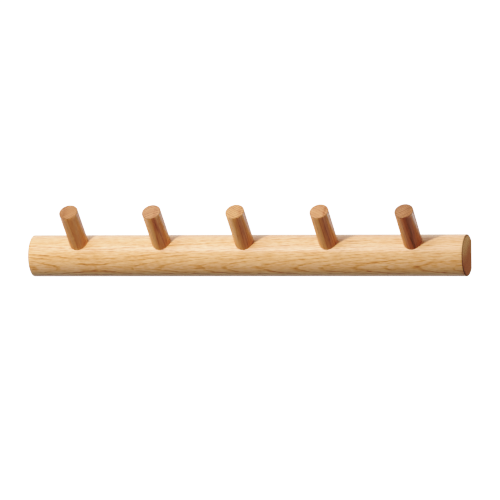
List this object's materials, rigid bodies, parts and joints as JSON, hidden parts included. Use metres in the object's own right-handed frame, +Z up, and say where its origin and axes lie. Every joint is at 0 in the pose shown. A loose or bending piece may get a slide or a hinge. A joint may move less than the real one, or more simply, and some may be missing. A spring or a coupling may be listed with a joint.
{
  "type": "wall hook rack",
  "caption": "Wall hook rack: a round oak rail with a flat back, slanting oak pegs set into it, and keyhole plates let into the back.",
  "frame": {"origin": "middle of the rail's flat back, the face that lies against the wall, halfway along the rail and halfway up it", "axes": "+X along the rail to the right as seen from the room, +Y into the wall (so the pegs stand out towards -Y), +Z up"},
  "size_m": [0.52, 0.0779, 0.0839],
  "materials": {
    "rail_oak": "satin",
    "peg_oak": "satin",
    "plate_steel": "zinc plated",
    "screw_steel": "zinc plated"
  },
  "bodies": {
    "root": {"rail": "rail_oak", "peg_1": "peg_oak", "peg_2": "peg_oak", "peg_3": "peg_oak", "peg_4": "peg_oak", "peg_5": "peg_oak", "hanger_plate_left": "plate_steel", "hanger_plate_right": "plate_steel", "plate_screw_left_inner": "screw_steel", "plate_screw_left_outer": "screw_steel", "plate_screw_right_inner": "screw_steel", "plate_screw_right_outer": "screw_steel"}
  },
  "joints": []
}
